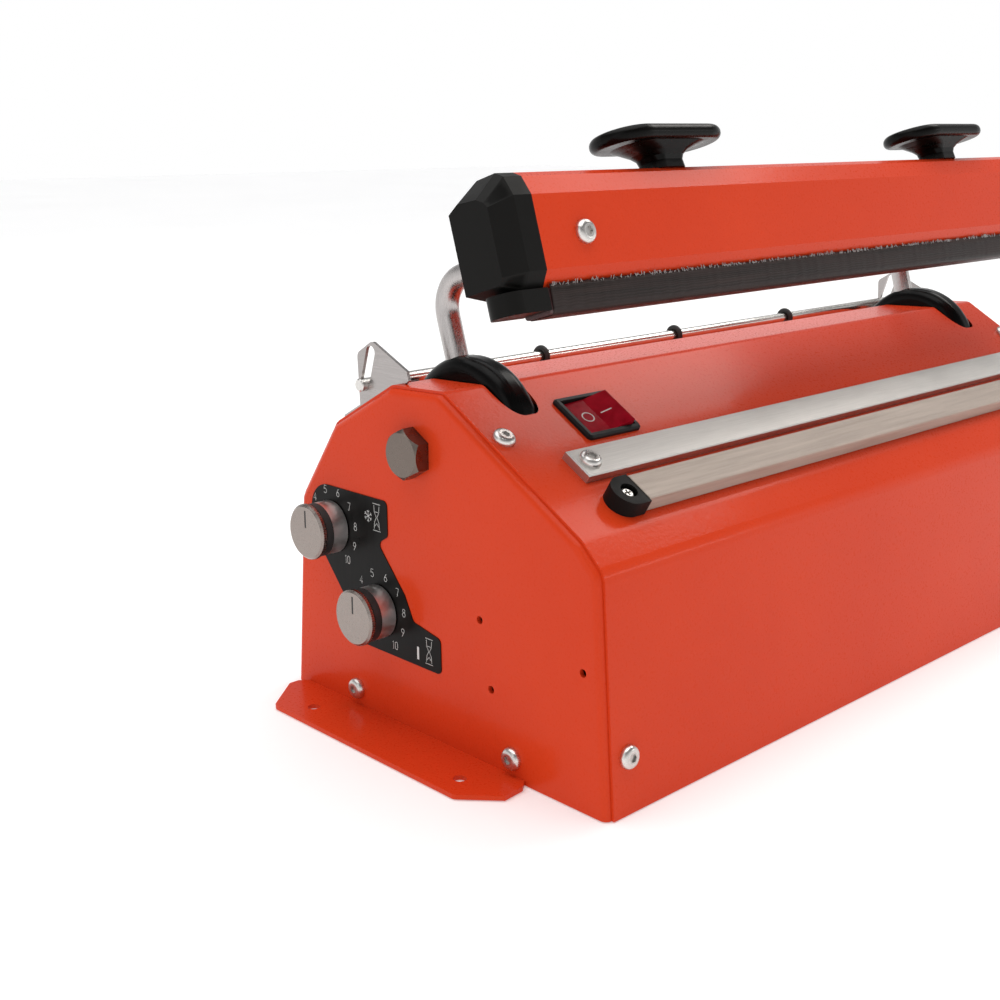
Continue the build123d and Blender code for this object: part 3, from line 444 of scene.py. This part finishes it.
def dress_all():
    dress(RED, "left_side_plate", "right_side_plate", "left_foot_flange", "right_foot_flange",
          "top_cover", "rear_panel", "jaw_profile")
    dress(SHEET_ZINC, "base_plate")
    # The pivot bolts' zinc carries painted shade in its colour.
    dress(BOLT_ZINC_PAINTED_SHADE, "pivot_bolts")
    dress(ZINC, "cover_screws", "side_screws", "jaw_screws", "seal_screws",
          "rail_screws", "bracket_screws", "handle_screws")
    dress(ROD, "arm_rods", "pivot_shaft", "potentiometers")
    dress(SPRING, "lever_springs")
    dress(DRUM_BLACK, "arm_hubs")
    dress(CAP_PLASTIC, "jaw_end_caps")
    dress(BLOCK_PLASTIC, "jaw_end_blocks", "seal_end_blocks", "limit_switch", "power_inlet")
    dress(HANDLE_PLASTIC, "handles")
    dress(BEZEL_PLASTIC, "switch_housing")
    dress(ALUMINIUM, "seal_bar", "pressure_bar")
    dress(RAIL, "guide_rail")
    dress(SEAL_CLOTH, "release_cover")
    dress(SPRING, "heating_band")
    dress(SILICONE, "jaw_rubber")
    dress(ROCKER, "rocker_button")
    dress(LABEL, "dial_label")
    dress(STAINLESS, "roller_brackets")
    dress(ROLLER, "roller_rod")
    dress(RING_RUBBER, "roller_rings", "sealing_knob_ring", "cooling_knob_ring")
    dress(laminated(), "transformer_core")
    dress(winding_tape(), "transformer_coil")
    dress(board_green(), "timer_board")
    dress(nylon_white(), "terminal_block")
    for knob, metal in KNOB_METAL_PAINTED_SHADE.items():
        dress(metal, f"{knob}_knob_cap")
    for knob, metal in COLLAR_METAL.items():
        dress(metal, f"{knob}_knob_collar", f"{knob}_knob_spindle")
    soften("jaw_end_caps", 1.4)


# ---- new pieces ----

def link(obj, body):
    """Put a new piece in the scene, riding on a body."""
    bpy.context.scene.collection.objects.link(obj)
    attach(obj, body)
    return obj


def mesh_piece(name, vertices, faces, material, body, smooth=False):
    data = bpy.data.meshes.new(name)
    data.from_pydata([tuple(v) for v in vertices], [], faces)
    data.update()
    if smooth:
        data.shade_smooth()
    data.materials.append(material)
    return link(bpy.data.objects.new(name, data), body)


def stroke_curve(name, strokes, width, depth, place, material, body):
    """Flat raised strokes: each is (closed, [(u, v), ...]) in metres on the place's plane."""
    data = bpy.data.curves.new(name, "CURVE")
    data.dimensions = "3D"
    data.bevel_depth = width / 2
    data.bevel_resolution = 2
    data.use_fill_caps = True
    for closed, points in strokes:
        spline = data.splines.new("POLY")
        spline.points.add(len(points) - 1)
        for target, (u, v) in zip(spline.points, points):
            target.co = (u, v, 0, 1)
        spline.use_cyclic_u = closed
    data.materials.append(material)
    obj = bpy.data.objects.new(name, data)
    squash = Matrix.Diagonal((1, 1, depth / (width / 2), 1))
    obj.matrix_world = place @ squash
    return link(obj, body)


def place_at(origin, along, up):
    """A frame whose x runs along, whose y runs up and whose z faces out."""
    x = Vector(along).normalized()
    y = Vector(up).normalized()
    z = x.cross(y)
    return Matrix.Translation(origin) @ Matrix((x, y, z)).transposed().to_4x4()


def arc(centre, radius, start, end, steps=10):
    """Points round an arc, its angles in degrees."""
    points = []
    for step in range(steps + 1):
        angle = math.radians(start + (end - start) * step / steps)
        points.append((centre[0] + radius * math.cos(angle),
                       centre[1] + radius * math.sin(angle)))
    return points


def digit_strokes(text):
    """Thin strokes for a number in a cell 1 high and 0.6 wide, centred on its middle."""
    shapes = {
        "0": [(True, arc((0, 0.24), 0.24, 0, 180) + arc((0, -0.24), 0.24, 180, 360))],
        "1": [(False, [(-0.12, 0.34), (0.06, 0.5), (0.06, -0.5)])],
        "4": [(False, [(0.14, -0.5), (0.14, 0.5), (-0.28, -0.2), (0.3, -0.2)])],
        "5": [(False, [(0.24, 0.5), (-0.2, 0.5), (-0.24, 0.08)]
               + arc((-0.02, -0.18), 0.3, 130, -140))],
        "6": [(False, [(0.16, 0.5), (-0.22, -0.05)]), (True, arc((0, -0.22), 0.27, 0, 345, 14))],
        "7": [(False, [(-0.26, 0.5), (0.26, 0.5), (-0.06, -0.5)])],
        "8": [(True, arc((0, 0.26), 0.22, 0, 345, 14)), (True, arc((0, -0.23), 0.27, 0, 345, 14))],
        "9": [(False, [(-0.14, -0.5), (0.22, 0.08)]), (True, arc((0, 0.22), 0.26, 0, 345, 14))],
    }
    strokes = []
    for index, letter in enumerate(text):
        shift = (index - (len(text) - 1) / 2) * 0.62
        for closed, points in shapes[letter]:
            strokes.append((closed, [(x + shift, y) for x, y in points]))
    return strokes


def scaled(strokes, size, centre, narrow=1.0):
    """Strokes at a size and place."""
    made = []
    for closed, points in strokes:
        moved = [(centre[0] + x * size * narrow, centre[1] + y * size) for x, y in points]
        made.append((closed, moved))
    return made


def hourglass():
    """An hourglass in a cell 1 high: two bars and two pinched bulbs."""
    glass = [(-0.24, 0.44), (-0.20, 0.18), (-0.03, 0.0), (-0.20, -0.18), (-0.24, -0.44)]
    mirrored = [(-x, y) for x, y in glass]
    bars = [(False, [(-0.34, 0.5), (0.34, 0.5)]), (False, [(-0.34, -0.5), (0.34, -0.5)])]
    sand = [(False, [(-0.14, 0.2), (0.14, 0.2)]),
            (False, [(-0.18, -0.34), (0, -0.22), (0.18, -0.34)])]
    return bars + sand + [(False, glass), (False, mirrored)]


def snowflake():
    """Three crossing bars with small barbs, in a cell 1 high."""
    strokes = []
    for turn in range(6):
        angle = math.radians(60 * turn + 30)
        tip = (0.5 * math.cos(angle), 0.5 * math.sin(angle))
        strokes.append((False, [(0, 0), tip]))
        for side in (-0.30, 0.30):
            barb = (0.46 * math.cos(angle + side), 0.46 * math.sin(angle + side))
            root = (0.32 * math.cos(angle), 0.32 * math.sin(angle))
            strokes.append((False, [root, barb]))
    return strokes


NUMBER_AT_TOP = 5.5
DEGREES_PER_NUMBER = 31.8
NUMBER_RADIUS = 16.4 * MM
INK_HEIGHT = 0.05 * MM


def dial_marks():
    """The numbers round both knobs, and the icons and bar on the label's lobes."""
    for knob, centre in KNOB_CENTRES.items():
        place = place_at((LABEL_FACE, centre.y, centre.z), (0, -1, 0), (0, 0, 1))
        strokes = []
        for number in range(4, 11):
            angle = math.radians((number - NUMBER_AT_TOP) * DEGREES_PER_NUMBER)
            spot = (NUMBER_RADIUS * math.sin(angle), NUMBER_RADIUS * math.cos(angle))
            strokes += scaled(digit_strokes(str(number)), 3.5 * MM, spot, 0.95)
        stroke_curve(f"{knob}_dial_numbers", strokes, 0.26 * MM, INK_HEIGHT, place, WHITE_INK,
                     "housing")
    label = place_at((LABEL_FACE, 0, 0), (0, -1, 0), (0, 0, 1))
    upper = (scaled(hourglass(), 11.7 * MM, (-21.3 * MM, 91.1 * MM), 0.62)
             + scaled(snowflake(), 5.2 * MM, (-27.0 * MM, 90.7 * MM)))
    lower = scaled(hourglass(), 11.1 * MM, (11.2 * MM, 40.2 * MM), 0.62)
    stroke_curve("dial_icons", upper + lower, 0.24 * MM, INK_HEIGHT, label, WHITE_INK,
                 "housing")
    bar = [(False, [(4.2 * MM, 34.9 * MM), (4.2 * MM, 40.5 * MM)])]
    stroke_curve("dial_bar", bar, 1.3 * MM, INK_HEIGHT, label, WHITE_INK, "housing")


def knob_pointers():
    """The dark fill in each knob's pointer groove."""
    for knob, (low, _) in KNOB_BOXES.items():
        centre = KNOB_CENTRES[knob]
        x = low.x + 0.10 * MM
        place = place_at((x, centre.y, centre.z), (0, -1, 0), (0, 0, 1))
        groove = [(False, [(0, 2.2 * MM), (0, 9.4 * MM)])]
        stroke_curve(f"{knob}_pointer", groove, 0.9 * MM, 0.08 * MM, place, DARK_LINE,
                     f"{knob}_knob")


def knob_knurls():
    """The finely toothed band behind each knob's face."""
    count = 2 * 72
    proud = 0.12 * MM
    tooth_depth = 0.45 * MM
    for knob, (low, high) in KNOB_BOXES.items():
        centre = KNOB_CENTRES[knob]
        outer = (high.y - low.y) / 2 + proud
        inner = outer - tooth_depth
        vertices = []
        for x in (high.x - 2.2 * MM, high.x - 0.5 * MM):
            for corner in range(count):
                angle = 2 * math.pi * corner / count
                radius = outer if corner % 2 else inner
                vertices.append((x, centre.y + radius * math.cos(angle),
                                 centre.z + radius * math.sin(angle)))
        faces = [(i, (i + 1) % count, count + (i + 1) % count, count + i) for i in range(count)]
        faces.append(tuple(range(count)))
        faces.append(tuple(range(2 * count - 1, count - 1, -1)))
        mesh_piece(f"{knob}_knurl", vertices, faces, KNOB_METAL_PAINTED_SHADE[knob], f"{knob}_knob")


# The rocker's two pads, in mm from its pivot: they meet in a shallow valley
PAD_LENGTH = 12.6
VALLEY_DEPTH = 1.146
PAD_TOP = 2.0
MARK_REACH = 5.0
ROCKER_REST_TILT = math.radians(10)


def rocker_marks():
    """The white off ring and on bar on the rocker's two pads."""
    up = Vector((0, math.cos(SLOPE_TILT), math.sin(SLOPE_TILT)))
    out = Vector((0, -math.sin(SLOPE_TILT), math.cos(SLOPE_TILT)))
    rest = Matrix.Rotation(-ROCKER_REST_TILT, 3, up)
    across = rest @ Vector((1, 0, 0))
    normal = rest @ out
    height = PAD_TOP - VALLEY_DEPTH * (1 - MARK_REACH / PAD_LENGTH)
    for name, side, strokes in (
        ("off_mark", -1, [(True, arc((0, 0), 2.6 * MM, 0, 348, 24))]),
        ("on_mark", 1, [(False, [(-2.9 * MM, 0), (2.9 * MM, 0)])]),
    ):
        pad = math.atan2(VALLEY_DEPTH, PAD_LENGTH) * side
        along = Matrix.Rotation(-pad, 3, up) @ across
        origin = ROCKER_PIVOT + across * (side * MARK_REACH * MM) + normal * (height * MM)
        place = place_at(origin, along, up)
        stroke_curve(name, strokes, 0.55 * MM, 0.07 * MM, place, WHITE_INK, "rocker")


def lever_point(x, back, up):
    """A point given in the lever's own frame: x, distance towards the back, and height, in mm."""
    lean = LEVER_LEAN - math.pi / 2
    y = back * math.cos(lean) - up * math.sin(lean)
    z = back * math.sin(lean) + up * math.cos(lean)
    return Vector((x * MM, LEVER_PIVOT.y + y * MM, LEVER_PIVOT.z + z * MM))


def jaw_cloth():
    """The glass cloth band over the rubber, its cut upper edge ragged against the jaw."""
    half = 198.5
    steps = 520
    columns = []
    for step in range(steps + 1):
        x = -half + 2 * half * step / steps
        coarse = noise.noise(Vector((x * 0.9, 3.1, 0)))
        fine = noise.noise(Vector((x * 3.7, 8.4, 0)))
        fray = 0.35 * coarse + 0.25 * fine
        ripple = 0.10 * noise.noise(Vector((x * 0.25, 0, 5.0)))
        columns.append([
            lever_point(x, -82.4 - ripple, 49.1 + fray),
            lever_point(x, -82.65 - ripple, 47.0),
            lever_point(x, -82.55 - ripple, 43.5),
            lever_point(x, -82.15 - ripple, 40.0),
            lever_point(x, -81.6, 38.7),
            lever_point(x, -80.4, 37.9),
            lever_point(x, -75.0, 37.85),
            lever_point(x, -69.6, 37.9),
            lever_point(x, -68.0, 38.7),
            lever_point(x, -67.6, 40.0),
            lever_point(x, -67.6, 46.6),
        ])
    rows = len(columns[0])
    vertices = [point for column in columns for point in column]
    faces = []
    for step in range(steps):
        for row in range(rows - 1):
            a = step * rows + row
            faces.append((a, a + 1, a + rows + 1, a + rows))
    obj = mesh_piece("jaw_cloth", vertices, faces, BAND_CLOTH, "lever", True)
    solid = obj.modifiers.new("thickness", "SOLIDIFY")
    solid.thickness = 0.12 * MM
    solid.offset = -1


def frayed_threads():
    """Loose glass threads along the band's cut edge."""
    threads = 420
    thick = 0.09
    vertices = []
    faces = []
    for _ in range(threads):
        x = random.uniform(-197.5, 197.5)
        low = 48.4 + random.uniform(-0.3, 0.3)
        length = random.uniform(0.4, 1.5)
        lean = random.uniform(-0.9, 0.9)
        out = random.uniform(0.0, 0.35)
        corners = [(x - thick, low), (x + thick, low), (x + lean + thick * 0.6, low + length),
                   (x + lean - thick * 0.6, low + length)]
        base = len(vertices)
        for index, (cx, cz) in enumerate(corners):
            reach = 82.7 + (out if index > 1 else 0.0)
            vertices.append(lever_point(cx, -reach, cz))
        for cx, cz in corners:
            vertices.append(lever_point(cx, -82.55, cz))
        faces += [(base, base + 1, base + 2, base + 3), (base + 7, base + 6, base + 5, base + 4)]
        for i in range(4):
            j = (i + 1) % 4
            faces.append((base + i, base + 4 + i, base + 4 + j, base + j))
    material = woven_cloth("fray_cloth", (0.25, 0.24, 0.235), (0.50, 0.49, 0.48), 0.3,
                           1500.0)
    mesh_piece("jaw_cloth_fray", vertices, faces, material, "lever")


# ---- camera, floor and light ----

def camera():
    """The view from the left front, slightly above."""
    data = bpy.data.cameras.new("camera")
    data.lens = 49.64
    data.sensor_width = 36.0
    data.clip_start = 0.01
    obj = bpy.data.objects.new("camera", data)
    right = Vector((0.7217, -0.6920, 0.0)).normalized()
    back = Vector((-0.6680, -0.6966, 0.2624)).normalized()
    up = back.cross(right)
    obj.matrix_world = (Matrix.Translation((-0.558, -0.416, 0.250))
                        @ Matrix((right, up, back)).transposed().to_4x4())
    bpy.context.scene.collection.objects.link(obj)
    bpy.context.scene.camera = obj


def floor():
    """A flat pale floor that reaches far past the machine."""
    half = 6.0
    steps = 24
    vertices = []
    for row in range(steps + 1):
        for column in range(steps + 1):
            vertices.append((-half + 2 * half * column / steps,
                             -half + 2 * half * row / steps, 0.0))
    faces = []
    for row in range(steps):
        for column in range(steps):
            a = row * (steps + 1) + column
            faces.append((a, a + 1, a + steps + 2, a + steps + 1))
    data = bpy.data.meshes.new("floor")
    data.from_pydata(vertices, [], faces)
    data.materials.append(floor_paper())
    obj = bpy.data.objects.new("floor", data)
    obj.location.z = -0.0005
    bpy.context.scene.collection.objects.link(obj)


def area_light(name, place, target, size, power, colour=(1, 1, 1)):
    """A soft box aimed at a point."""
    data = bpy.data.lights.new(name, "AREA")
    data.shape = "RECTANGLE"
    data.size, data.size_y = size
    data.energy = power
    data.color = colour
    obj = bpy.data.objects.new(name, data)
    obj.location = place
    aim = Vector(target) - Vector(place)
    obj.rotation_euler = aim.to_track_quat("-Z", "Y").to_euler()
    bpy.context.scene.collection.objects.link(obj)


def sky_light(name, towards, strength):
    """A very soft sun, which lights the whole floor evenly."""
    data = bpy.data.lights.new(name, "SUN")
    data.energy = strength
    data.angle = math.radians(75)
    obj = bpy.data.objects.new(name, data)
    obj.rotation_euler = Vector(towards).to_track_quat("Z", "Y").to_euler()
    bpy.context.scene.collection.objects.link(obj)


def lights():
    """Soft studio light: a wide sun, and boxes at the right, low in front, above and left."""
    world = bpy.data.worlds.new("studio")
    bpy.context.scene.world = world
    world.use_nodes = True
    tree = world.node_tree
    place = tree.nodes.new("ShaderNodeTexCoord")
    split = tree.nodes.new("ShaderNodeSeparateXYZ")
    ramp = tree.nodes.new("ShaderNodeValToRGB")
    tree.links.new(place.outputs["Generated"], split.inputs[0])
    tree.links.new(split.outputs["Z"], ramp.inputs["Fac"])
    tree.links.new(ramp.outputs["Color"], tree.nodes["Background"].inputs["Color"])
    elements = ramp.color_ramp.elements
    elements[0].position = 0.12
    elements[0].color = (1.0, 1.0, 1.0, 1)
    elements[1].position = 0.55
    elements[1].color = (0.20, 0.20, 0.205, 1)
    tree.nodes["Background"].inputs["Strength"].default_value = 1.0
    sky_light("sky", (0.0, 0.15, 1.0), 1.65)
    area_light("key", (1.35, -0.1, 1.5), (0.0, 0, 0.12), (1.1, 0.5), 9.0, (1.0, 0.97, 0.93))
    area_light("low_box", (1.6, -1.75, 0.6), (0.0, 0, 0.2), (0.5, 0.25), 1.6, (1.0, 0.98, 0.95))
    area_light("top", (-0.3, -0.1, 1.7), (0, 0, 0.1), (1.4, 1.0), 5.0, (1.0, 0.97, 0.93))
    area_light("left_box", (-1.5, -0.3, 0.9), (-0.2, 0, 0.1), (0.7, 0.9), 1.5)


def view_settings():
    settings = bpy.context.scene.view_settings
    settings.view_transform = "Standard"
    settings.look = "None"


camera()
floor()
lights()
view_settings()
dress_all()
dial_marks()
knob_pointers()
knob_knurls()
rocker_marks()
jaw_cloth()
frayed_threads()
